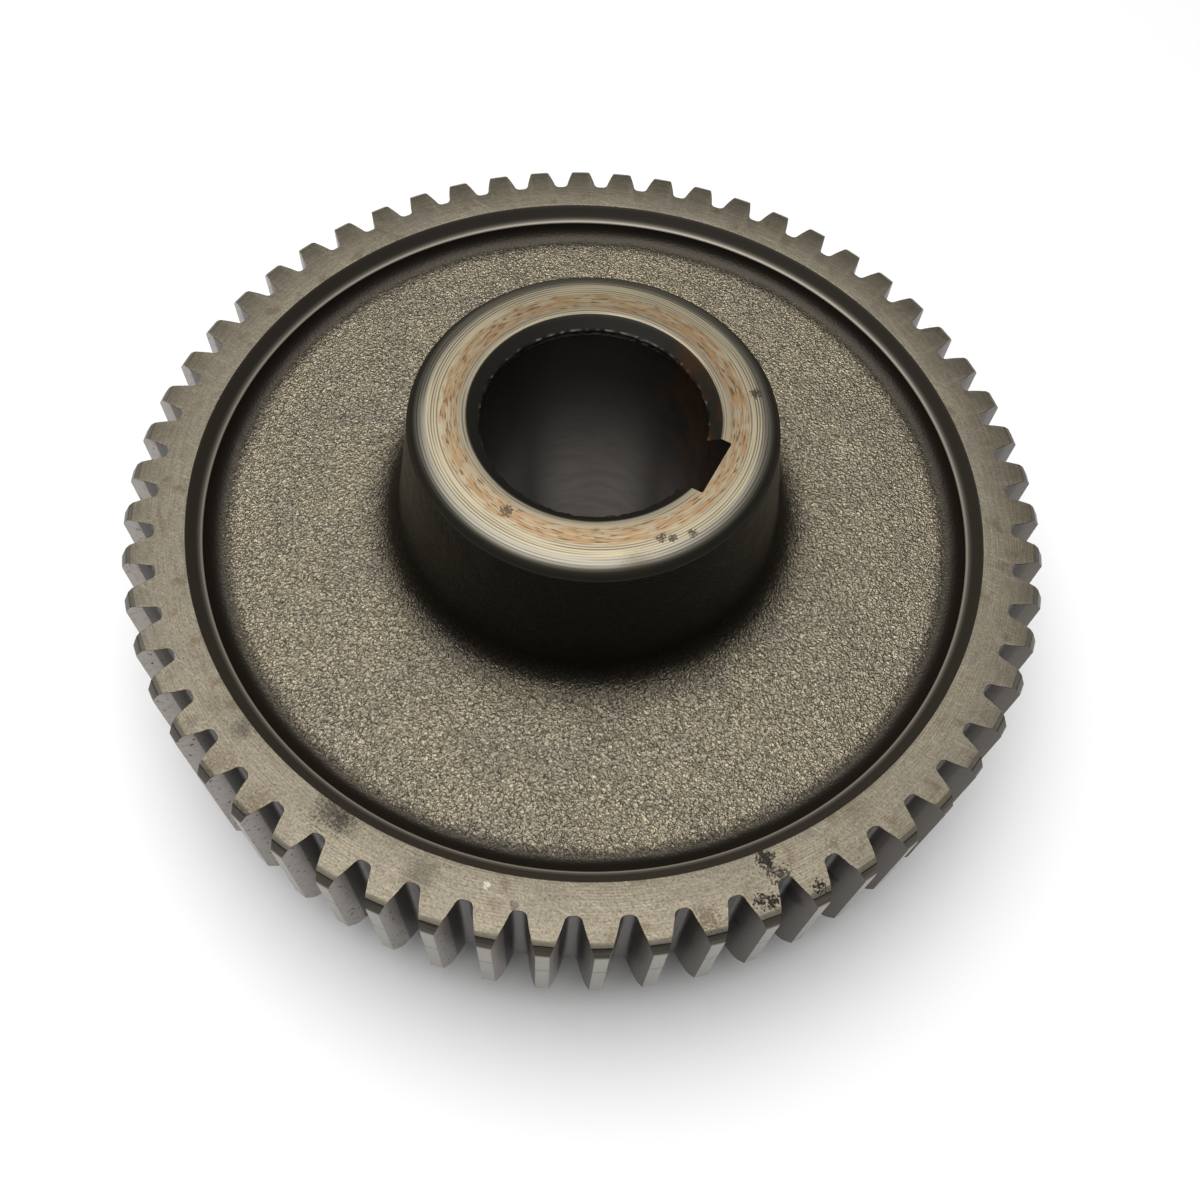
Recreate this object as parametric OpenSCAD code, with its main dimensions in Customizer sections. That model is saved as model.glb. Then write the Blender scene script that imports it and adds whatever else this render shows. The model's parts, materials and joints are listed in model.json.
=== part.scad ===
// Spur gear wheel: one steel forging with turned rim faces, cut teeth,
// a long drafted hub on one side, a short boss on the other, and a keyed bore.
// The wheel stands on its boss, with its axis along Z and its keyway towards +X.

/* [Teeth] */
// Number of teeth
tooth_count = 58; // [46:1:80]
// Module: pitch diameter over the number of teeth
tooth_module = 3; // [2.5:0.25:4]
// Pressure angle of the flanks, in degrees
pressure_angle = 20; // [18:0.5:22]
// Depth of a tooth space below the mating tooth's tip
root_clearance = 0.5; // [0.3:0.05:0.9]
// How much thinner a tooth is than half the pitch, for backlash and wear
tooth_thinning = 0.2; // [0:0.05:0.5]
// Radius at the bottom corners of a tooth space
root_fillet_r = 1.1; // [0.6:0.1:1.2]
// Angle from the keyway to the nearest tooth's middle
tooth_phase = 1.65; // [0:0.05:6]
// Width of the toothed rim along the axis
face_width = 30; // [24:0.5:40]
// Radial width of the narrow bevel at the edge of a tooth's end face
edge_bevel_w = 0.9; // [0.4:0.1:1.2]
// Height of the narrow bevel
edge_bevel_h = 0.5; // [0.2:0.1:1]
// Radial width of the chamfer at the tooth's tip
tip_chamfer_w = 1.3; // [0.6:0.1:1.6]
// Height of the chamfer at the tooth's tip
tip_chamfer_h = 1.9; // [1:0.1:3]

/* [Rim and web] */
// Width of the rim's flat face inside the roots of the teeth
rim_land = 5.7; // [4:0.1:9]
// Radial width of the bevel at the rim's inner edge
lip_bevel_w = 2.6; // [1.5:0.1:4]
// Height of the bevel at the rim's inner edge
lip_bevel_h = 2.9; // [1.5:0.1:4]
// Depth of the web below the rim's face, on both sides
web_recess = 6; // [4.5:0.1:9]
// Radius of the hollow from the web up to the rim
web_fillet_r = 3.8; // [2.5:0.1:5]

/* [Hub] */
// Height of the hub's end above the rim's upper face
hub_rise = 25.6; // [16:0.1:36]
// Length of the boss below the rim's lower face
boss_drop = 15; // [8:0.5:20]
// Width of the flat ring on the hub's end, outside the bore's chamfer
hub_land = 7; // [5:0.1:10]
// Radius of the turned shoulder around the hub's end
shoulder_r = 4.4; // [2.5:0.1:6]
// How far the shoulder turns from flat towards the hub's side, in degrees
shoulder_sweep = 56; // [40:1:70]
// Draft of the forged side of the hub, in degrees
hub_draft = 8.5; // [3:0.5:12]
// Radius of the hollow at the hub's foot
hub_fillet_r = 7; // [4:0.5:10]

/* [Bore] */
// Diameter of the bore
bore_d = 42; // [34:0.5:50]
// Chamfer at both ends of the bore
bore_chamfer = 2; // [1:0.1:3]
// Width of the keyway
key_w = 12; // [8:0.5:16]
// Depth of the keyway beyond the bore's wall
key_depth = 3.3; // [2:0.1:5]

/* [Hidden] */
$fn = 144;
// Length by which a cut runs past a face, and one section into another
over = 1.5;
// Steps along one flank, and along one corner at the root
flank_steps = 7;
corner_steps = 5;

pitch_r = tooth_count * tooth_module / 2;
base_r = pitch_r * cos(pressure_angle);
tip_r = pitch_r + tooth_module;
root_r = pitch_r - tooth_module - root_clearance;
rim_inner_r = root_r - rim_land;
lip_r = rim_inner_r - lip_bevel_w;
bore_r = bore_d / 2;
hub_face_r = bore_r + bore_chamfer + hub_land;
rim_low = boss_drop;
rim_top = rim_low + face_width;
hub_top = rim_top + hub_rise;

// Pressure angle of the flank at radius r, and its involute in degrees
function flank_angle(r) = acos(min(1, base_r / r));
function involute(a) = tan(a) * 180 / PI - a;
function polar(r, a) = [r * cos(a), r * sin(a)];

// Half the angle that a tooth space spans at radius r
half_space = 90 / tooth_count + tooth_thinning / pitch_r / 2 * 180 / PI;
function space_angle(r) = half_space - involute(pressure_angle) + involute(flank_angle(r));

// Centre of the round corner between the root and a flank, touching both
corner_r = root_r + root_fillet_r;
corner_flank = flank_angle(corner_r);
corner_angle = space_angle(corner_r) - root_fillet_r / cos(corner_flank) / corner_r * 180 / PI;
corner_end_r = corner_r - root_fillet_r * sin(corner_flank);

// One side of a tooth space, from the root out past the tip
space_side = concat(
    [for (i = [0 : corner_steps - 1])
        polar(corner_r, corner_angle)
        + polar(root_fillet_r, corner_angle + 180 - (90 - corner_flank) * i / corner_steps)],
    [for (i = [0 : flank_steps])
        let (r = corner_end_r + (tip_r + over - corner_end_r) * i / flank_steps)
        polar(r, space_angle(r))]
);
space_count = len(space_side);

module tooth_space() {
    polygon(concat(
        space_side,
        [for (i = [1 : space_count]) let (p = space_side[space_count - i]) [p.x, -p.y]]
    ));
}

// Flat section of the rim: its face is at height 0, and the wheel's middle is below
module rim_section() {
    middle = -face_width / 2 - over;
    polygon([
        [lip_r, middle],
        [tip_r, middle],
        [tip_r, -edge_bevel_h - tip_chamfer_h],
        [tip_r - tip_chamfer_w, -edge_bevel_h],
        [tip_r - tip_chamfer_w - edge_bevel_w, 0],
        [rim_inner_r, 0],
        [lip_r, -lip_bevel_h]
    ]);
}

module web_section() {
    thickness = face_width / 2 + over - web_recess;
    translate([0, -web_recess - thickness]) square([rim_inner_r, thickness]);
}

// Hollow corner from the web up to the lip of the rim
module rim_hollow() {
    wall = web_recess - lip_bevel_h;
    climb = min(web_fillet_r, wall);
    reach = sqrt(pow(web_fillet_r, 2) - pow(web_fillet_r - climb, 2));
    centre = [lip_r - reach, web_fillet_r - web_recess];
    difference() {
        polygon([
            [centre.x, -web_recess],
            [centre.x, -web_recess - over],
            [lip_r + over, -web_recess - over],
            [lip_r + over, climb - web_recess],
            [lip_r, climb - web_recess]
        ]);
        translate(centre) circle(web_fillet_r);
    }
}

// Hub that rises from the web to its end face, with a turned shoulder and a forged, drafted side
module hub_section(rise) {
    shoulder = [hub_face_r, rise - shoulder_r];
    shoulder_end = shoulder + polar(shoulder_r, 90 - shoulder_sweep);
    foot_r = shoulder_end.x + (shoulder_end.y + web_recess) * tan(hub_draft);
    middle = -face_width / 2 - over;
    polygon([
        [0, middle],
        [foot_r, middle],
        [foot_r, -web_recess],
        shoulder_end,
        [hub_face_r, rise],
        [0, rise]
    ]);
    intersection() {
        translate(shoulder) circle(shoulder_r);
        polygon([
            shoulder,
            shoulder + polar(2 * shoulder_r, 90 - shoulder_sweep),
            shoulder + polar(2 * shoulder_r, 90 - shoulder_sweep / 2),
            shoulder + polar(2 * shoulder_r, 90)
        ]);
    }
    hub_hollow(foot_r);
}

// Hollow corner at the hub's foot, touching the web and the drafted side
module hub_hollow(foot_r) {
    centre = [
        foot_r + hub_fillet_r * (1 - sin(hub_draft)) / cos(hub_draft),
        hub_fillet_r - web_recess
    ];
    side = centre - polar(hub_fillet_r, hub_draft);
    difference() {
        polygon([
            [centre.x, -web_recess],
            side,
            [side.x - over, side.y],
            [side.x - over, -web_recess - over],
            [centre.x, -web_recess - over]
        ]);
        translate(centre) circle(hub_fillet_r);
    }
}

// Section of one side of the wheel, drawn upwards from its rim's face
module side_section(rise) {
    rim_section();
    web_section();
    rim_hollow();
    hub_section(rise);
}

module blank() {
    rotate_extrude() {
        translate([0, rim_top]) side_section(hub_rise);
        translate([0, rim_low]) mirror([0, 1]) side_section(boss_drop);
    }
}

module bore() {
    translate([0, 0, -over]) cylinder(r = bore_r, h = hub_top + 2 * over);
    translate([0, 0, -over])
        cylinder(r1 = bore_r + bore_chamfer + over, r2 = bore_r, h = bore_chamfer + over);
    translate([0, 0, hub_top - bore_chamfer])
        cylinder(r1 = bore_r, r2 = bore_r + bore_chamfer + over, h = bore_chamfer + over);
}

module keyway() {
    translate([0, -key_w / 2, -over]) cube([bore_r + key_depth, key_w, hub_top + 2 * over]);
}

module tooth_spaces() {
    pitch_angle = 360 / tooth_count;
    for (i = [0 : tooth_count - 1])
        rotate(tooth_phase + (i + 0.5) * pitch_angle)
            translate([0, 0, rim_low - over])
                linear_extrude(face_width + 2 * over) tooth_space();
}

module gear_wheel() {
    color("#6e6a61") difference() {
        blank();
        bore();
        keyway();
        tooth_spaces();
    }
}

gear_wheel();
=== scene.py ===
import json
import math

import bpy
from mathutils import Matrix, Vector


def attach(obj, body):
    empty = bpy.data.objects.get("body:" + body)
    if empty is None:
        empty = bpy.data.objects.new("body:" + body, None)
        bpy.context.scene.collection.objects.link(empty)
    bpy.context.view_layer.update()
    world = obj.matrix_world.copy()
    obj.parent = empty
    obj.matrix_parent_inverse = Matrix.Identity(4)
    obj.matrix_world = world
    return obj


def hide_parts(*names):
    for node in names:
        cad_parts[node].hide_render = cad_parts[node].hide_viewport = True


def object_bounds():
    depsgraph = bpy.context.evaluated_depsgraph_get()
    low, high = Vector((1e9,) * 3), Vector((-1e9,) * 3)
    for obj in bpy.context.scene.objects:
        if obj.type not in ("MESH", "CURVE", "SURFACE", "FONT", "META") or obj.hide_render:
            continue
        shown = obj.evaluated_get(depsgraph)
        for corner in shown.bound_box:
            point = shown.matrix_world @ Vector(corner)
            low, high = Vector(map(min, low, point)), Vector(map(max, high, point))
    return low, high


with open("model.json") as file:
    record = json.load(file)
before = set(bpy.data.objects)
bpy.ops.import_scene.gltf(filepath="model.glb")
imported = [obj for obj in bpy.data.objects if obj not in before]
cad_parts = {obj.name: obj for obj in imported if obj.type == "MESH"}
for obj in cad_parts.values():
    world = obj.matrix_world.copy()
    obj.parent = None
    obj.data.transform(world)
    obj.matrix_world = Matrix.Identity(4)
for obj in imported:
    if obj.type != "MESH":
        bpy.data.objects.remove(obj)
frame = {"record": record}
cad_low, cad_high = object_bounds()

# The blank: one round steel forging whose rim, lip, shoulder and bore were then turned on a lathe.
# Its section is drawn as a line of points that goes once around, and the closed line is spun about
# the axis. Lengths are in millimetres, with heights over the floor, until a point becomes a vertex.
mm = 0.001
bore_mount = next(m for m in frame["record"]["mounts"] if m["name"] == "bore")
bore_r = bore_mount["dims"]["r_mm"]
wheel_top = cad_high.z / mm
hub_rise, face_width = 25.6, 30.0
rim_top = wheel_top - hub_rise
rim_low = rim_top - face_width
tip_r = 90.0
tip_chamfer = Vector((1.3, 1.9))
edge_bevel = Vector((0.9, 0.5))
rim_inner_r, lip_r, lip_drop = 77.8, 75.2, 2.9
strip_start = Vector((76.35, -1.9))
strip_turn = -23.0
web_recess, rim_hollow_r = 6.0, 3.8
hub_face_r, shoulder_r, shoulder_sweep = 30.0, 4.4, 56.0
hub_draft, hub_hollow_r = math.radians(8.5), 7.0
bore_chamfer, mouth_hold = 2.0, 0.15
edge_wear = 0.14
scribe_z, scribe_half, scribe_depth = rim_top - 12.3, 0.1, 0.05
turn_steps = 58 * 7


def straight(line, end, steps):
    """Carries the line on to end."""
    start = line[-1]
    line += [start.lerp(end, i / steps) for i in range(1, steps + 1)]


def arc(line, centre, turn, steps):
    """Carries the line on around centre, by turn in degrees."""
    arm = line[-1] - centre
    line += [centre + Matrix.Rotation(math.radians(turn) * i / steps, 2) @ arm for i in range(1, steps + 1)]


def chord_arc(line, end, turn, steps):
    """Carries the line on to end along a shallow arc that turns by that many degrees."""
    chord = end - line[-1]
    half = math.radians(turn) / 2
    across = Vector((-chord.y, chord.x))
    arc(line, line[-1] + chord / 2 + across / (2 * math.tan(half)), turn, steps)


def side_section(rise, fine):
    """One side's section from the tooth's tip in to the bore: radius, and height over the rim's face."""
    line = [Vector((tip_r, -edge_bevel.y - tip_chamfer.y))]
    straight(line, Vector((tip_r - tip_chamfer.x, -edge_bevel.y)), 1)
    straight(line, Vector((tip_r - tip_chamfer.x - edge_bevel.x, 0)), 1)
    straight(line, Vector((rim_inner_r, 0)), 1)
    straight(line, strip_start, fine(3))
    chord_arc(line, Vector((lip_r, -lip_drop)), strip_turn, fine(4))
    low = rim_hollow_r - web_recess
    reach = math.sqrt(rim_hollow_r**2 - (low + lip_drop) ** 2)
    rim_hollow = Vector((lip_r - reach, low))
    arc(line, rim_hollow, math.degrees(math.asin((low + lip_drop) / rim_hollow_r)) - 90, fine(10))
    shoulder = Vector((hub_face_r, rise - shoulder_r))
    side_top = shoulder + Matrix.Rotation(math.radians(90 - shoulder_sweep), 2) @ Vector((shoulder_r, 0))
    foot_r = side_top.x + (side_top.y + web_recess) * math.tan(hub_draft)
    hub_hollow = Vector((
        foot_r + hub_hollow_r * (1 - math.sin(hub_draft)) / math.cos(hub_draft),
        hub_hollow_r - web_recess,
    ))
    straight(line, Vector((hub_hollow.x, -web_recess)), fine(36))
    arc(line, hub_hollow, math.degrees(hub_draft) - 90, fine(14))
    straight(line, side_top, fine(26 * rise / 25))
    arc(line, shoulder, shoulder_sweep, fine(9))
    straight(line, Vector((bore_r + bore_chamfer, rise)), fine(6))
    mouth = Vector((bore_r, rise - bore_chamfer))
    straight(line, mouth + Vector((mouth_hold, mouth_hold)), fine(3))
    straight(line, mouth, 1)
    return line


def draw_line(points):
    """Draws a line of edges through the points, in edit mode, from one vertex that is extruded."""
    places = [Vector(p) * mm for p in points]
    bpy.ops.mesh.primitive_plane_add(size=mm)
    bpy.ops.mesh.merge(type="CENTER")
    bpy.ops.transform.translate(value=places[0])
    for before, after in zip(places, places[1:]):
        bpy.ops.mesh.extrude_region_move(TRANSFORM_OT_translate={"value": after - before})


upper = [Vector((p.x, 0, rim_top + p.y)) for p in side_section(hub_rise, lambda n: max(2, round(n)))]
lower = [Vector((p.x, 0, rim_low - p.y)) for p in side_section(rim_low, lambda n: max(2, round(n * 0.4)))]
mouth_z = upper[-1].z
# Old grease stands in a lip below the mouth, in close rows that keep its shading off the wall.
grease_bulge, grease_height, grease_rows = 0.4, 1.8, 10
for i in range(1, grease_rows + 1):
    part = i / grease_rows
    bulge = grease_bulge * math.sin(math.pi * part**0.6)
    upper.append(Vector((bore_r - bulge, 0, mouth_z - grease_height * part)))
upper.append(Vector((bore_r, 0, mouth_z - grease_height - mouth_hold)))
bore_rows = 14
straight(upper, lower[-1], bore_rows)
scribe = [
    Vector((tip_r, 0, scribe_z - scribe_half)),
    Vector((tip_r - scribe_depth, 0, scribe_z)),
    Vector((tip_r, 0, scribe_z + scribe_half)),
]
outline = upper + lower[-2::-1] + scribe + upper[:1]

bpy.ops.object.select_all(action="DESELECT")
bpy.ops.mesh.primitive_plane_add(size=mm)
wheel = bpy.context.object
wheel.name = "finished_wheel"
wheel.data.name = "finished_wheel"
bpy.ops.object.mode_set(mode="EDIT")
bpy.ops.mesh.delete(type="VERT")
draw_line(outline)
bpy.ops.mesh.select_all(action="SELECT")
bpy.ops.mesh.remove_doubles(threshold=0.01 * mm)
bpy.ops.mesh.select_all(action="DESELECT")
bpy.ops.object.mode_set(mode="OBJECT")


def corner_angle(before, here, after):
    return math.degrees((here - before).angle(after - here))


# Every turned corner is a little rounded by handling.
corners = [
    here
    for before, here, after in zip(outline[-2:-1] + outline, outline, outline[1:])
    if corner_angle(before, here, after) > 18 and abs(here.z - scribe_z) > 1 and here.x > bore_r
]
for vertex in wheel.data.vertices:
    vertex.select = any((vertex.co / mm - c).length < 0.01 for c in corners)
bpy.ops.object.mode_set(mode="EDIT")
bpy.ops.mesh.select_mode(type="VERT")
bpy.ops.mesh.bevel(offset=edge_wear * mm, segments=2, affect="VERTICES")
bpy.ops.object.mode_set(mode="OBJECT")
bpy.ops.object.modifier_add(type="SCREW")
turning = wheel.modifiers[-1]
turning.axis = "Z"
turning.steps = turn_steps
turning.use_merge_vertices = True
turning.merge_threshold = 0.005 * mm
turning.use_smooth_shade = False
bpy.ops.object.modifier_apply(modifier=turning.name)
bpy.ops.object.mode_set(mode="EDIT")
bpy.ops.mesh.select_all(action="SELECT")
bpy.ops.mesh.remove_doubles(threshold=0.005 * mm)
bpy.ops.mesh.normals_make_consistent(inside=False)
bpy.ops.object.mode_set(mode="OBJECT")

# The forged skin: the web, the hollow corners and the hub's side keep the scale and the grain of the
# hammer and the blast. The waves that can be felt by hand are pressed into the mesh; finer grain is
# in the material.
middle_z = (rim_top + rim_low) / 2
skin_edge_r, skin_fade = 74.0, 2.5
side_r = hub_face_r + shoulder_r * math.sin(math.radians(shoulder_sweep))


def fade(value, low, high):
    """0 at low, 1 at high, smooth between."""
    t = min(1, max(0, (value - low) / (high - low)))
    return t * t * (3 - 2 * t)


def relief(piece, name, group, size, depth):
    """Presses a soft random relief into the vertices of a group."""
    clouds = bpy.data.textures.new(name, "CLOUDS")
    clouds.noise_scale = size * mm
    clouds.noise_depth = 2
    bpy.ops.object.modifier_add(type="DISPLACE")
    press = piece.modifiers[-1]
    press.texture = clouds
    press.texture_coords = "LOCAL"
    press.strength = depth * mm
    press.vertex_group = group
    bpy.ops.object.modifier_apply(modifier=press.name)


skin = wheel.vertex_groups.new(name="forged_skin")
grease = wheel.vertex_groups.new(name="grease_lip")
for vertex in wheel.data.vertices:
    r = math.hypot(vertex.co.x, vertex.co.y) / mm
    z = vertex.co.z / mm
    if side_r < r < skin_edge_r:
        weight = fade(skin_edge_r - r, 0, skin_fade) * fade(r - side_r, 0, 0.5)
        skin.add([vertex.index], weight, "REPLACE")
    if r < bore_r - 0.02 and z > mouth_z - 1.6:
        grease.add([vertex.index], 1.0, "REPLACE")
relief(wheel, "forging waves", "forged_skin", 11.0, 0.35)
relief(wheel, "forging grain", "forged_skin", 2.4, 0.2)
relief(wheel, "grease crumbs", "grease_lip", 1.3, 0.7)


def put(tree, kind, inputs=(), **settings):
    """Adds a node, applies its settings, and fills its inputs by name or number with links or values."""
    made = tree.nodes.new("ShaderNode" + kind)
    for name, value in settings.items():
        setattr(made, name, value)
    for key, value in dict(inputs).items():
        if isinstance(value, bpy.types.NodeSocket):
            tree.links.new(value, made.inputs[key])
        else:
            made.inputs[key].default_value = value
    return made


def work(tree, operation, *values):
    """One step of arithmetic on values that change over the surface."""
    return put(tree, "Math", enumerate(values), operation=operation).outputs[0]


def ramp(tree, value, low, high, start=0.0, end=1.0):
    """Maps low..high to start..end with smooth ends."""
    inputs = {"Value": value, "From Min": low, "From Max": high, "To Min": start, "To Max": end}
    return put(tree, "MapRange", inputs, interpolation_type="SMOOTHSTEP").outputs["Result"]


def tint(tree, factor, first, second, way="MIX"):
    """Mixes two colours by a mask."""
    mix = put(tree, "Mix", {0: factor}, data_type="RGBA", blend_type=way)
    for number, value in ((6, first), (7, second)):
        if isinstance(value, bpy.types.NodeSocket):
            tree.links.new(value, mix.inputs[number])
        else:
            mix.inputs[number].default_value = (*value, 1)
    return mix.outputs[2]


def new_group(name, inputs, outputs):
    """An empty node group with named sockets, and its two end nodes."""
    tree = bpy.data.node_groups.new(name, "ShaderNodeTree")
    for socket, kind, value in inputs:
        made = tree.interface.new_socket(socket, in_out="INPUT", socket_type=kind)
        made.default_value = value
    for socket, kind in outputs:
        tree.interface.new_socket(socket, in_out="OUTPUT", socket_type=kind)
    return tree, tree.nodes.new("NodeGroupInput"), tree.nodes.new("NodeGroupOutput")


def use(tree, group, **inputs):
    """Places a node group in a material, with its own values."""
    made = tree.nodes.new("ShaderNodeGroup")
    made.node_tree = group
    for name, value in inputs.items():
        socket = made.inputs[name]
        if isinstance(value, bpy.types.NodeSocket):
            tree.links.new(value, socket)
        else:
            socket.default_value = value
    return made.outputs


FLOAT, VECTOR = "NodeSocketFloat", "NodeSocketVector"

# Where a point lies on the wheel, in millimetres: radius, height and the direction from the axis.
wheel_place, _, end = new_group(
    "wheel place", [], [("Radius", FLOAT), ("Height", FLOAT), ("Around", VECTOR), ("Point", VECTOR)]
)
point = put(wheel_place, "TexCoord").outputs["Object"]
point = put(wheel_place, "VectorMath", {0: point, 1: (1 / mm,) * 3}, operation="MULTIPLY").outputs[0]
flat = put(wheel_place, "VectorMath", {0: point, 1: (1, 1, 0)}, operation="MULTIPLY").outputs[0]
split = put(wheel_place, "SeparateXYZ", {0: point})
radius = put(wheel_place, "VectorMath", {0: flat}, operation="LENGTH").outputs["Value"]
around = put(wheel_place, "VectorMath", {0: flat}, operation="NORMALIZE").outputs[0]
height = split.outputs["Z"]
for name, socket in (("Radius", radius), ("Height", height), ("Around", around), ("Point", point)):
    wheel_place.links.new(socket, end.inputs[name])

# Random grain: small lumps of a size in millimetres.
grain, start, end = new_group("grain", [("Size", FLOAT, 1.0), ("Detail", FLOAT, 2.0)], [("Value", FLOAT)])
place = use(grain, wheel_place)
lumps = put(grain, "TexNoise", {
    "Vector": place["Point"],
    "Scale": work(grain, "DIVIDE", 1.0, start.outputs["Size"]),
    "Detail": start.outputs["Detail"],
    "Roughness": 0.55,
})
grain.links.new(lumps.outputs["Fac"], end.inputs["Value"])

# Marks that run around the axis, as a lathe tool leaves them: fine across, long around.
turned_marks, start, end = new_group(
    "turned marks",
    [("Across", FLOAT, 0.0), ("Pitch", FLOAT, 0.5), ("Breaks", FLOAT, 3.0)],
    [("Value", FLOAT)],
)
place = use(turned_marks, wheel_place)
breaks = {0: place["Around"], "Scale": start.outputs["Breaks"]}
ring = put(turned_marks, "VectorMath", breaks, operation="SCALE")
lines = put(turned_marks, "CombineXYZ", {
    "Z": work(turned_marks, "DIVIDE", start.outputs["Across"], start.outputs["Pitch"]),
})
vector = put(turned_marks, "VectorMath", {0: ring.outputs[0], 1: lines.outputs[0]}, operation="ADD")
marks = put(turned_marks, "TexNoise", {
    "Vector": vector.outputs[0],
    "Scale": 1.0,
    "Detail": 1.5,
    "Roughness": 0.5,
})
turned_marks.links.new(marks.outputs["Fac"], end.inputs["Value"])

# The regular feed of a turning tool: fine lines at an even pitch.
feed_lines, start, end = new_group(
    "feed lines", [("Across", FLOAT, 0.0), ("Pitch", FLOAT, 0.5)], [("Value", FLOAT)]
)
phase = work(feed_lines, "DIVIDE", start.outputs["Across"], start.outputs["Pitch"])
wave = work(feed_lines, "SINE", work(feed_lines, "MULTIPLY", phase, 2 * math.pi))
feed_lines.links.new(work(feed_lines, "MULTIPLY_ADD", wave, 0.5, 0.5), end.inputs["Value"])

# A single ragged spot around a point.
spot, start, end = new_group(
    "spot",
    [("Centre", VECTOR, (0, 0, 0)), ("Size", FLOAT, 1.0), ("Ragged", FLOAT, 0.5), ("Soft", FLOAT, 0.15)],
    [("Mask", FLOAT)],
)
place = use(spot, wheel_place)
away = put(spot, "VectorMath", {0: place["Point"], 1: start.outputs["Centre"]}, operation="DISTANCE")
away = work(spot, "DIVIDE", away.outputs["Value"], start.outputs["Size"])
crumbs = use(spot, grain, Size=0.4, Detail=4.0)["Value"]
crumbs = work(spot, "MULTIPLY", work(spot, "SUBTRACT", crumbs, 0.5), start.outputs["Ragged"])
away = work(spot, "ADD", away, work(spot, "MULTIPLY", crumbs, 6.0))
outer = work(spot, "ADD", 1.0, start.outputs["Soft"])
inner = work(spot, "SUBTRACT", 1.0, start.outputs["Soft"])
spot.links.new(ramp(spot, away, outer, inner), end.inputs["Mask"])


def new_finish(name):
    """A material with its shader, and its place on the wheel."""
    finish = bpy.data.materials.new(name)
    finish.use_nodes = True
    tree = finish.node_tree
    return finish, tree, tree.nodes["Principled BSDF"], use(tree, wheel_place)


def wire(tree, shader, **sockets):
    """Links what changes over the surface to the shader's sockets."""
    for name, socket in sockets.items():
        tree.links.new(socket, shader.inputs[name.replace("_", " ")])


def bumped(tree, shader, height, depth):
    """Turns a height from 0 to 1 into a relief that deep, in millimetres."""
    bump = put(tree, "Bump", {"Strength": 1.0, "Distance": depth * mm, "Height": height})
    tree.links.new(bump.outputs["Normal"], shader.inputs["Normal"])


def finish_faces(piece, finish, test):
    """Gives a finish to the faces whose middle passes the test."""
    piece.data.materials.append(finish)
    number = len(piece.data.materials) - 1
    for face in piece.data.polygons:
        middle = face.center / mm
        if test(math.hypot(middle.x, middle.y), middle.z):
            face.material_index = number


forged_skin, tree, shader, place = new_finish("forged skin")
bumps = use(tree, grain, Size=0.42, Detail=2.0)["Value"]
pimples = use(tree, grain, Size=1.6, Detail=2.0)["Value"]
patches = use(tree, grain, Size=9.0, Detail=4.0)["Value"]
speckle = work(tree, "MULTIPLY", work(tree, "SUBTRACT", bumps, 0.5), 4.0)
speckled_r = work(tree, "ADD", place["Radius"], speckle)
at_rim = ramp(tree, speckled_r, 69.0, 72.6)
at_hub = ramp(tree, speckled_r, 46.8, 36.8)
warp = put(tree, "TexNoise", {"Vector": place["Point"], "Scale": 1.1, "Detail": 1.0}).outputs["Color"]
warped = put(tree, "VectorMath", {0: place["Point"], 1: warp}, operation="ADD").outputs[0]
pebbles = put(tree, "TexVoronoi", {"Vector": warped, "Scale": 1.9}, feature="F1")
pebble_edge = pebbles.outputs["Distance"]
pebble_glint_and_shade = put(tree, "SeparateXYZ", {0: pebbles.outputs["Color"]}).outputs["X"]
# Painted shade: the creases between the pebbles are coloured dark.
painted_crease_shade = ramp(tree, work(tree, "MULTIPLY_ADD", bumps, 0.5, pebble_edge), 0.58, 0.95)
skin_colour = tint(tree, ramp(tree, patches, 0.35, 0.65), (0.272, 0.238, 0.18), (0.321, 0.278, 0.195))
# Painted highlight and painted shade: single pebbles are coloured lighter as glints and darker as shade, as
# if their facets were tilted towards and away from the lamp.
skin_colour = tint(tree, ramp(tree, pebble_glint_and_shade, 0.45, 1.0, 0.0, 0.34), skin_colour, (0.485, 0.43, 0.315))
skin_colour = tint(tree, ramp(tree, pebble_glint_and_shade, 0.4, 0.0, 0.0, 0.2), skin_colour, (0.15, 0.13, 0.098))
skin_colour = tint(tree, work(tree, "MULTIPLY", painted_crease_shade, 0.55), skin_colour, (0.05, 0.043, 0.032))
# Towards the rim's hollow and the hub's foot the skin turns dark: partly dark forged scale, partly painted
# shade in the hollow corners.
skin_colour = tint(tree, at_rim, skin_colour, (0.03, 0.0253, 0.0195))
skin_colour = tint(tree, at_hub, skin_colour, (0.0135, 0.0117, 0.0088))
wire(tree, shader, Base_Color=skin_colour, Roughness=ramp(tree, at_rim, 0.0, 1.0, 0.38, 0.45))
shader.inputs["Metallic"].default_value = 0.82
shader.inputs["Specular IOR Level"].default_value = 0.35
rim_rough = ramp(tree, at_rim, 0.6, 1.0, 1.0, 0.15)
hub_rough = ramp(tree, at_hub, 0.3, 1.0, 1.0, 0.3)
height = work(tree, "MULTIPLY_ADD", pebble_edge, -0.6, work(tree, "MULTIPLY", bumps, 0.7))
height = work(tree, "MULTIPLY_ADD", pimples, 0.6, height)
bumped(tree, shader, work(tree, "MULTIPLY", height, work(tree, "MULTIPLY", rim_rough, hub_rough)), 0.36)
finish_faces(wheel, forged_skin, lambda r, z: True)

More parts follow.
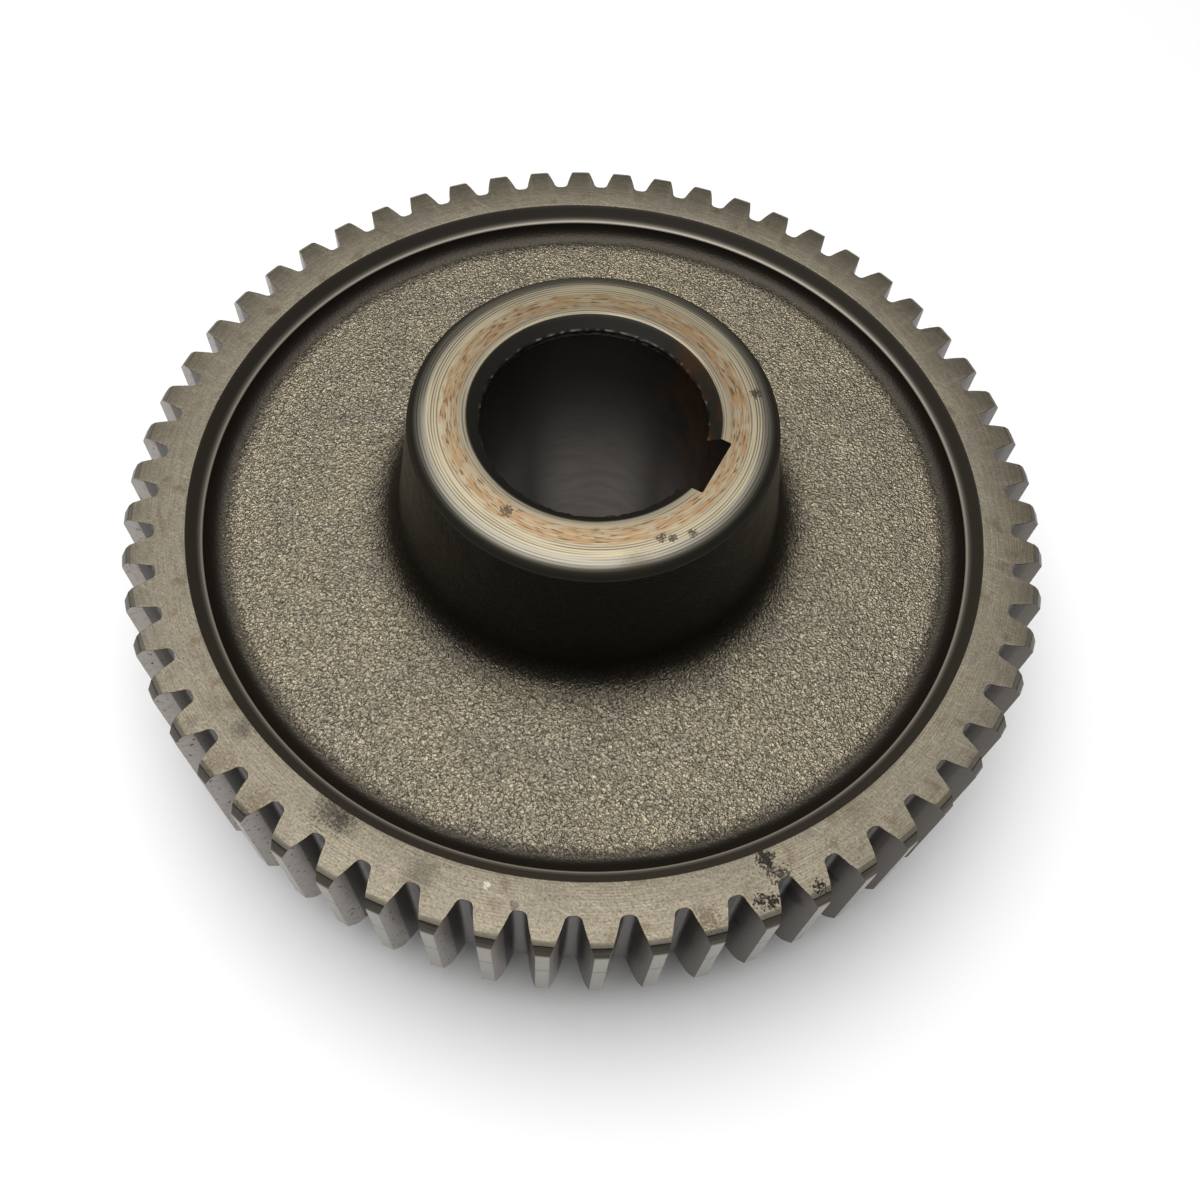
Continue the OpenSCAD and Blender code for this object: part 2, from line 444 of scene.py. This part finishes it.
# The rim's faces and the ends of the teeth were faced off flat. They are bare steel with fine rings
# from the tool, oblique scratches from handling, a warm film of old oil and a few greasy spots.
turned_rim, tree, shader, place = new_finish("faced rim")
rings = use(tree, turned_marks, Across=place["Radius"], Pitch=0.45, Breaks=16.0)["Value"]
feed = use(tree, feed_lines, Across=place["Radius"], Pitch=0.52)["Value"]
film = use(tree, grain, Size=9.0, Detail=4.0)["Value"]
fleck = use(tree, grain, Size=0.42, Detail=2.0)["Value"]
stains = use(tree, grain, Size=4.5, Detail=4.0)["Value"]
slant = put(tree, "Mapping", {0: place["Point"], "Rotation": (0, 0, 0.6), "Scale": (0.12, 1.6, 1)})
scratch = put(tree, "TexNoise", {"Vector": slant.outputs[0], "Scale": 1.0, "Detail": 2.0}).outputs["Fac"]
cross = put(tree, "Mapping", {0: place["Point"], "Rotation": (0, 0, -1.1), "Scale": (1.0, 3.0, 1)})
hatch = put(tree, "TexNoise", {"Vector": cross.outputs[0], "Scale": 1.0, "Detail": 1.0}).outputs["Fac"]
feed = work(tree, "MULTIPLY", feed, ramp(tree, film, 0.42, 0.6, 0.1, 0.55))
rim_colour = tint(tree, ramp(tree, film, 0.38, 0.62), (0.145, 0.126, 0.095), (0.18, 0.156, 0.112))
rim_colour = tint(tree, ramp(tree, rings, 0.42, 0.62, 0.0, 0.4), rim_colour, (0.095, 0.083, 0.062))
rim_colour = tint(tree, feed, rim_colour, (0.1, 0.088, 0.067))
rim_colour = tint(tree, ramp(tree, hatch, 0.52, 0.68, 0.0, 0.24), rim_colour, (0.27, 0.242, 0.187))
rim_colour = tint(tree, ramp(tree, scratch, 0.6, 0.74, 0.0, 0.3), rim_colour, (0.27, 0.245, 0.195))
rim_colour = tint(tree, ramp(tree, fleck, 0.57, 0.7, 0.0, 0.55), rim_colour, (0.075, 0.062, 0.043))
rim_colour = tint(tree, ramp(tree, stains, 0.55, 0.7, 0.0, 0.7), rim_colour, (0.095, 0.072, 0.047))
# Painted highlight: the narrow bevel at the outer edge of the rim's face is coloured light.
rim_colour = tint(tree, ramp(tree, place["Radius"], 87.75, 88.0), rim_colour, (0.31, 0.28, 0.215))
soot, rust_brown = (0.012, 0.01, 0.008), (0.07, 0.048, 0.03)
bare_steel = (0.4, 0.37, 0.3)
for x, y, size, ragged, soft, strength, colour in (
    (11.5, -80.8, 2.4, 0.25, 0.8, 0.45, soot),
    (-7.2, -78.9, 2.6, 0.7, 0.8, 0.7, soot),
    (-4.4, -79.6, 1.8, 0.7, 0.8, 0.6, soot),
    (-29.2, -73.8, 1.6, 0.6, 0.8, 0.55, soot),
    (-36.2, -72.7, 2.0, 0.5, 0.9, 0.3, rust_brown),
    (-37.8, -76.9, 1.0, 0.6, 0.8, 0.35, soot),
    (-19.3, -83.6, 2.6, 0.9, 0.8, 0.55, rust_brown),
    (-29.0, -80.7, 2.4, 0.9, 0.8, 0.45, rust_brown),
    (61.1, -50.7, 1.4, 0.7, 0.2, 0.95, soot),
    (62.6, -52.0, 1.2, 1.0, 0.35, 0.75, soot),
    (64.5, -51.9, 1.3, 0.9, 0.3, 0.85, soot),
    (63.3, -57.6, 1.0, 1.0, 0.2, 1.0, soot),
    (65.0, -56.7, 1.0, 1.1, 0.2, 1.0, soot),
    (57.0, -64.5, 1.6, 1.3, 0.5, 0.7, rust_brown),
    (70.9, -50.6, 0.9, 1.1, 0.2, 1.0, soot),
    (70.1, -42.6, 0.8, 1.2, 0.5, 0.6, rust_brown),
    (27.8, -78.0, 0.7, 0.5, 0.4, 0.5, soot),
    (22.1, -77.1, 0.6, 0.5, 0.4, 0.6, bare_steel),
    (71.3, -34.8, 2.4, 0.3, 0.6, 0.3, rust_brown),
):
    mask = use(tree, spot, Centre=(x, y, rim_top), Size=size, Ragged=ragged, Soft=soft)["Mask"]
    rim_colour = tint(tree, work(tree, "MULTIPLY", mask, strength), rim_colour, colour)
wire(tree, shader, Base_Color=rim_colour, Roughness=ramp(tree, fleck, 0.3, 0.7, 0.42, 0.52))
shader.inputs["Metallic"].default_value = 0.9
bumped(tree, shader, work(tree, "ADD", rings, fleck), 0.014)
finish_faces(wheel, turned_rim, lambda r, z: r > rim_inner_r - 0.2 and abs(z - middle_z) > 14.6)

# The lip is the bevel between the rim's face and the hollow. Its colour is dark all over, partly the steel's
# own dark brown and partly painted shade of the steep bevel, with a lighter burnished strip along its inner
# edge and a painted highlight on the edge itself.
burnished_lip, tree, shader, place = new_finish("burnished lip")
strip = ramp(tree, place["Radius"], 76.3, 75.3)
# Painted highlight: a thin light line along the lip's inner edge.
painted_edge_highlight = ramp(tree, place["Radius"], 75.7, 75.25)
lip_colour = tint(tree, strip, (0.05, 0.043, 0.033), (0.19, 0.167, 0.132))
lip_colour = tint(tree, painted_edge_highlight, lip_colour, (0.36, 0.33, 0.275))
wire(tree, shader, Base_Color=lip_colour)
shader.inputs["Metallic"].default_value = 0.6
shader.inputs["Roughness"].default_value = 0.45
lip_start, lip_end = lip_r - 0.05, rim_inner_r - 0.05
finish_faces(wheel, burnished_lip, lambda r, z: lip_start < r < lip_end and abs(z - middle_z) > 11.9)

# The tips of the teeth: a narrow bevel, a darker chamfer, and the land that the lathe left, with the
# thin scribed line of the gear cutter's set-up around it.
tooth_tips, tree, shader, place = new_finish("tooth tips")
land = ramp(tree, place["Radius"], tip_r - 0.25, tip_r - 0.05)
wisps = use(tree, turned_marks, Across=place["Height"], Pitch=0.5, Breaks=8.0)["Value"]
tip_colour = tint(tree, land, (0.07, 0.062, 0.049), (0.28, 0.26, 0.226))
tip_colour = tint(tree, ramp(tree, wisps, 0.45, 0.7, 0.0, 0.3), tip_colour, (0.16, 0.15, 0.13))
from_scribe = work(tree, "ABSOLUTE", work(tree, "SUBTRACT", place["Height"], scribe_z))
tip_colour = tint(tree, ramp(tree, from_scribe, 0.2, 0.08), tip_colour, (0.05, 0.045, 0.038))
wire(tree, shader, Base_Color=tip_colour)
shader.inputs["Metallic"].default_value = 0.9
shader.inputs["Roughness"].default_value = 0.36
bumped(tree, shader, wisps, 0.006)
finish_faces(wheel, tooth_tips, lambda r, z: r > tip_r - tip_chamfer.x + 0.02)

# The hub's end and its shoulder were turned bright. Rings from the tool run around it, and a band of
# rust-brown stain lies where a spacer was clamped.
turned_hub, tree, shader, place = new_finish("turned hub end")
rings = use(tree, turned_marks, Across=place["Radius"], Pitch=0.35, Breaks=1.5)["Value"]
feed = use(tree, feed_lines, Across=place["Radius"], Pitch=0.5)["Value"]
streaks = use(tree, turned_marks, Across=place["Radius"], Pitch=0.55, Breaks=7.0)["Value"]
crumbs = use(tree, turned_marks, Across=place["Radius"], Pitch=0.28, Breaks=11.0)["Value"]
band_inside = ramp(tree, place["Radius"], 23.9, 24.9)
band = work(tree, "MULTIPLY", band_inside, ramp(tree, place["Radius"], 28.4, 27.2))
stain = work(tree, "MULTIPLY", band, ramp(tree, streaks, 0.38, 0.58, 0.12, 0.9))
flaked = work(tree, "MULTIPLY", band, ramp(tree, crumbs, 0.54, 0.68, 0.0, 0.9))
bare = work(tree, "SUBTRACT", 1.0, work(tree, "MULTIPLY", band, 0.7))
bare_lines = work(tree, "MULTIPLY", feed, bare)
grooves = work(tree, "MULTIPLY", bare_lines, ramp(tree, rings, 0.38, 0.6, 0.05, 0.95))
outwards = ramp(tree, place["Radius"], 23.5, 28.5)
hub_colour = tint(tree, outwards, (0.226, 0.196, 0.138), (0.318, 0.275, 0.188))
hub_colour = tint(tree, ramp(tree, place["Radius"], 29.8, 30.6), hub_colour, (0.205, 0.19, 0.154))
hub_colour = tint(tree, stain, hub_colour, (0.25, 0.154, 0.076))
hub_colour = tint(tree, grooves, hub_colour, (0.08, 0.07, 0.053))
hub_colour = tint(tree, flaked, hub_colour, (0.085, 0.053, 0.029))
hub_colour = tint(tree, ramp(tree, place["Radius"], 31.4, 32.8), hub_colour, (0.048, 0.043, 0.034))
nick_dark, smudge_brown = (0.03, 0.026, 0.02), (0.06, 0.042, 0.026)
for x, y, size, ragged, soft, strength, colour in (
    (23.2, 18.3, 0.9, 0.7, 0.3, 0.85, nick_dark),
    (22.2, -17.6, 0.7, 0.8, 0.3, 0.85, nick_dark),
    (23.9, -16.7, 0.7, 0.8, 0.3, 0.85, nick_dark),
    (26.4, -14.1, 0.7, 0.8, 0.3, 0.85, nick_dark),
    (-3.2, -25.7, 1.0, 0.8, 0.3, 0.8, nick_dark),
    (21.6, -24.8, 2.6, 0.3, 0.8, 0.5, smudge_brown),
):
    mask = use(tree, spot, Centre=(x, y, wheel_top), Size=size, Ragged=ragged, Soft=soft)["Mask"]
    hub_colour = tint(tree, work(tree, "MULTIPLY", mask, strength), hub_colour, colour)
shader.inputs["Specular Tint"].default_value = (0.35, 0.33, 0.3, 1)
wire(tree, shader, Base_Color=hub_colour)
shader.inputs["Metallic"].default_value = 0.85
shader.inputs["Roughness"].default_value = 0.42
bumped(tree, shader, rings, 0.006)
shoulder_low = shoulder_r * (1 - math.cos(math.radians(shoulder_sweep))) + 0.1
finish_faces(wheel, turned_hub, lambda r, z: r < 33.7 and (z > wheel_top - shoulder_low or z < shoulder_low))

# The bore: a dark, oily sliding fit with a chamfer at each mouth, and a painted reflection down its far
# wall.
oiled_bore, tree, shader, place = new_finish("oiled bore")
film = use(tree, grain, Size=6.0, Detail=4.0)["Value"]
rust_side = put(tree, "VectorMath", {0: place["Around"], 1: (0.85, 0.53, 0)}, operation="DOT_PRODUCT")
rust_side = ramp(tree, rust_side.outputs["Value"], 0.55, 0.95)
rust = work(tree, "MULTIPLY", rust_side, ramp(tree, film, 0.35, 0.6))
far_wall = put(tree, "VectorMath", {0: place["Around"], 1: (-0.39, 0.92, 0)}, operation="DOT_PRODUCT")
far_wall = ramp(tree, far_wall.outputs["Value"], 0.74, 0.98)
# Painted reflection: the far wall is coloured lighter, more so towards the bottom, in broken bands.
painted_wall_sheen = work(tree, "MULTIPLY", far_wall, ramp(tree, place["Height"], 58, 16))
sheen_breaks = use(tree, turned_marks, Across=place["Height"], Pitch=2.2, Breaks=3.0)["Value"]
painted_wall_sheen = work(tree, "MULTIPLY", painted_wall_sheen, ramp(tree, sheen_breaks, 0.3, 0.6, 0.82, 1.0))
bore_colour = tint(tree, film, (0.012, 0.01, 0.008), (0.03, 0.024, 0.018))
bore_colour = tint(tree, ramp(tree, place["Radius"], 20.5, 21.3), bore_colour, (0.032, 0.029, 0.023))
bore_colour = tint(tree, painted_wall_sheen, bore_colour, (0.24, 0.215, 0.185))
wire(tree, shader, Base_Color=tint(tree, rust, bore_colour, (0.075, 0.035, 0.014)))
shader.inputs["Metallic"].default_value = 0.6
shader.inputs["Roughness"].default_value = 0.42
finish_faces(wheel, oiled_bore, lambda r, z: r < bore_r + bore_chamfer - 0.05)

# The teeth: straight involute spaces, hobbed through the rim one after another. The cutter is drawn
# as the outline of one space at four heights, flared at both faces for the broken edges, and copied.
# At the pitch circle a tooth is as wide as a space, 0.1 mm fuller on each flank than in the solid.
tooth_count, tooth_phase = 58, math.radians(1.65)
pitch_r, root_r, root_fillet_r = 87.0, 83.5, 1.1
pressure_angle = math.radians(20)
base_r = pitch_r * math.cos(pressure_angle)
flank_steps, corner_steps = 12, 8
past_tip, past_face, edge_break = 0.6, 0.2, 0.06
tooth_pitch = 2 * math.pi / tooth_count


def flank_lean(r):
    return math.acos(min(1, base_r / r))


def involute(lean):
    return math.tan(lean) - lean


def half_space(r, spread):
    """Half the angle of a tooth space at radius r, with both flanks cut back by spread."""
    return tooth_pitch / 4 + spread / base_r - involute(pressure_angle) + involute(flank_lean(r))


def space_outline(spread, z):
    """The outline of a tooth space at height z, from one tip through the root to the other."""
    corner_r = root_r + root_fillet_r
    lean = flank_lean(corner_r)
    corner = half_space(corner_r, 0) - root_fillet_r / math.cos(lean) / corner_r
    bend = root_fillet_r + spread
    middle = corner_r * Vector((math.cos(corner), math.sin(corner)))
    side = []
    for i in range(corner_steps):
        turn = corner + math.pi - (math.pi / 2 - lean) * i / corner_steps
        side.append(middle + bend * Vector((math.cos(turn), math.sin(turn))))
    flank_start = corner_r - bend * math.sin(lean)
    for i in range(flank_steps + 1):
        r = flank_start + (tip_r + past_tip - flank_start) * i / flank_steps
        turn = half_space(r, spread)
        side.append(r * Vector((math.cos(turn), math.sin(turn))))
    other = [Vector((p.x, -p.y)) for p in side]
    place = Matrix.Rotation(tooth_phase + tooth_pitch / 2, 3, "Z")
    return [place @ Vector((p.x, p.y, z)) for p in other[::-1] + side]


def flank_finish(name, band, root, pitted):
    """Bare tooth flank: a band towards the tip, a darker root with dried oil, pits and black grease."""
    finish, tree, shader, place = new_finish(name)
    contact = ramp(tree, place["Radius"], 86.4, 86.8)
    pits = use(tree, grain, Size=0.9, Detail=1.0)["Value"]
    streaky = use(tree, grain, Size=1.3, Detail=3.0)["Value"]
    colour = tint(tree, contact, root, band)
    colour = tint(tree, ramp(tree, streaky, 0.45, 0.7, 0.0, 0.28), colour, root)
    colour = tint(tree, ramp(tree, pits, pitted, pitted + 0.04), colour, (0.02, 0.015, 0.012))
    for number, aside, out, drop, size in (
        (50, 0.6, 85.2, 13.0, 1.6),
        (51, 1.5, 85.4, 6.0, 2.6),
        (52, 1.2, 85.2, 10.0, 1.7),
    ):
        turn = tooth_phase + (number + 0.5) * tooth_pitch + aside / pitch_r
        centre = (out * math.cos(turn), out * math.sin(turn), rim_top - drop)
        mask = use(tree, spot, Centre=centre, Size=size, Ragged=0.25, Soft=0.2)["Mask"]
        colour = tint(tree, mask, colour, (0.006, 0.006, 0.0055))
    wire(tree, shader, Base_Color=colour)
    shader.inputs["Metallic"].default_value = 0.85
    shader.inputs["Roughness"].default_value = 0.4
    return finish


# One side of every tooth is light, partly worn by the load and partly painted light; the other side is
# unworn and dark, partly painted shade.
worn_lit_flanks = flank_finish("worn lit flanks", (0.32, 0.29, 0.262), (0.085, 0.077, 0.067), 0.67)
idle_shaded_flanks = flank_finish("idle shaded flanks", (0.092, 0.079, 0.065), (0.06, 0.052, 0.043), 0.74)

bpy.ops.object.select_all(action="DESELECT")
bpy.ops.mesh.primitive_plane_add(size=mm)
hob = bpy.context.object
hob.name = "hob"
hob.data.materials.append(worn_lit_flanks)
hob.data.materials.append(idle_shaded_flanks)
bpy.ops.object.mode_set(mode="EDIT")
bpy.ops.mesh.delete(type="VERT")
for spread, z in (
    (edge_break + past_face, rim_low - past_face),
    (0, rim_low + edge_break),
    (0, rim_top - edge_break),
    (edge_break + past_face, rim_top + past_face),
):
    loop = space_outline(spread, z)
    draw_line(loop + loop[:1])
bpy.ops.mesh.select_all(action="SELECT")
bpy.ops.mesh.remove_doubles(threshold=0.005 * mm)
bpy.ops.mesh.bridge_edge_loops(type="SINGLE")
bpy.ops.mesh.select_all(action="SELECT")
bpy.ops.mesh.fill_holes(sides=0)
bpy.ops.mesh.select_all(action="SELECT")
bpy.ops.mesh.normals_make_consistent(inside=False)
bpy.ops.object.mode_set(mode="OBJECT")
for face in hob.data.polygons:
    turn = math.atan2(face.center.y, face.center.x) - tooth_phase - tooth_pitch / 2
    face.material_index = 1 if turn > 0 else 0
bpy.ops.object.mode_set(mode="EDIT")
bpy.ops.mesh.select_all(action="SELECT")
bpy.ops.mesh.spin(
    dupli=True,
    steps=tooth_count - 1,
    angle=tooth_pitch * (tooth_count - 1),
    center=(0, 0, 0),
    axis=(0, 0, 1),
)
bpy.ops.mesh.select_all(action="SELECT")
bpy.ops.mesh.normals_make_consistent(inside=False)
bpy.ops.object.mode_set(mode="OBJECT")


def cut(piece, tool):
    """Takes the tool's shape out of the piece. The cut faces keep the tool's finish."""
    bpy.ops.object.select_all(action="DESELECT")
    piece.select_set(True)
    bpy.context.view_layer.objects.active = piece
    bpy.ops.object.modifier_add(type="BOOLEAN")
    step = piece.modifiers[-1]
    step.operation = "DIFFERENCE"
    step.solver = "MANIFOLD"
    step.material_mode = "TRANSFER"
    step.object = tool
    bpy.ops.object.modifier_apply(modifier=step.name)
    bpy.data.objects.remove(tool)


cut(wheel, hob)

# The keyway: a slot for the key, broached along the whole bore, with its edges a little broken.
key_w, key_depth, key_corner = 12.0, 3.3, 0.35
key_start = bore_r - 6
slot_out = bore_r + key_depth
bpy.ops.object.select_all(action="DESELECT")
bpy.ops.mesh.primitive_cube_add(
    size=1,
    location=((key_start + slot_out) / 2 * mm, 0, wheel_top / 2 * mm),
    scale=((slot_out - key_start) * mm, key_w * mm, (wheel_top + 4) * mm),
)
broach = bpy.context.object
broach.name = "broach"
bpy.ops.object.transform_apply(location=True, rotation=True, scale=True)
broach.data.materials.append(oiled_bore)
for edge in broach.data.edges:
    ends = [broach.data.vertices[i].co / mm for i in edge.vertices]
    edge.select = all(p.x > slot_out - 0.1 for p in ends) and abs(ends[0].z - ends[1].z) > 1
bpy.ops.object.mode_set(mode="EDIT")
bpy.ops.mesh.select_mode(type="EDGE")
bpy.ops.mesh.bevel(offset=key_corner * mm, segments=3, affect="EDGES")
bpy.ops.object.mode_set(mode="OBJECT")
cut(wheel, broach)

# The finished wheel stands for the solid.
bpy.ops.object.mode_set(mode="EDIT")
bpy.ops.mesh.select_all(action="SELECT")
bpy.ops.mesh.remove_doubles(threshold=0.001 * mm)
bpy.ops.mesh.dissolve_degenerate(threshold=0.0005 * mm)
bpy.ops.object.mode_set(mode="OBJECT")
bpy.ops.object.shade_smooth_by_angle(angle=math.radians(20))
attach(wheel, "root")
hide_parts("gear_wheel")

# The studio: a pale floor, one large soft lamp overhead, and the camera where the photograph was taken.
bpy.ops.object.select_all(action="DESELECT")
bpy.ops.mesh.primitive_plane_add(size=8)
floor = bpy.context.object
floor.name = "floor"
pale = bpy.data.materials.new("pale floor")
pale.use_nodes = True
pale.node_tree.nodes["Principled BSDF"].inputs["Base Color"].default_value = (0.88, 0.88, 0.88, 1)
pale.node_tree.nodes["Principled BSDF"].inputs["Roughness"].default_value = 0.9
floor.data.materials.append(pale)


def soft_lamp(name, place, target, size, power):
    lamp = bpy.data.lights.new(name, "AREA")
    lamp.shape = "DISK"
    lamp.size = size
    lamp.energy = power
    made = bpy.data.objects.new(name, lamp)
    bpy.context.scene.collection.objects.link(made)
    made.location = place
    made.rotation_euler = (Vector(target) - Vector(place)).to_track_quat("-Z", "Y").to_euler()


soft_lamp("overhead", (-0.12, 0.02, 1.1), (0, 0, 0), 1.25, 18.5)
scene = bpy.context.scene
scene.world = bpy.data.worlds.new("room")
scene.world.use_nodes = True
scene.world.node_tree.nodes["Background"].inputs["Color"].default_value = (1, 1, 1, 1)
scene.world.node_tree.nodes["Background"].inputs["Strength"].default_value = 0.07
scene.view_settings.view_transform = "Standard"

camera = bpy.data.cameras.new("camera")
camera.sensor_width = 36.0
camera.lens = 36.70
camera.clip_start = 0.01
view = bpy.data.objects.new("camera", camera)
scene.collection.objects.link(view)
heading, look_down, roll = math.radians(23.25), math.radians(61.43), math.radians(5.42)
view.matrix_world = (
    Matrix.Translation(Vector((56.51, -121.24, rim_top + 201.44)) * mm)
    @ Matrix.Rotation(heading, 4, "Z")
    @ Matrix.Rotation(math.pi / 2 - look_down, 4, "X")
    @ Matrix.Rotation(roll, 4, "Z")
)
scene.camera = view
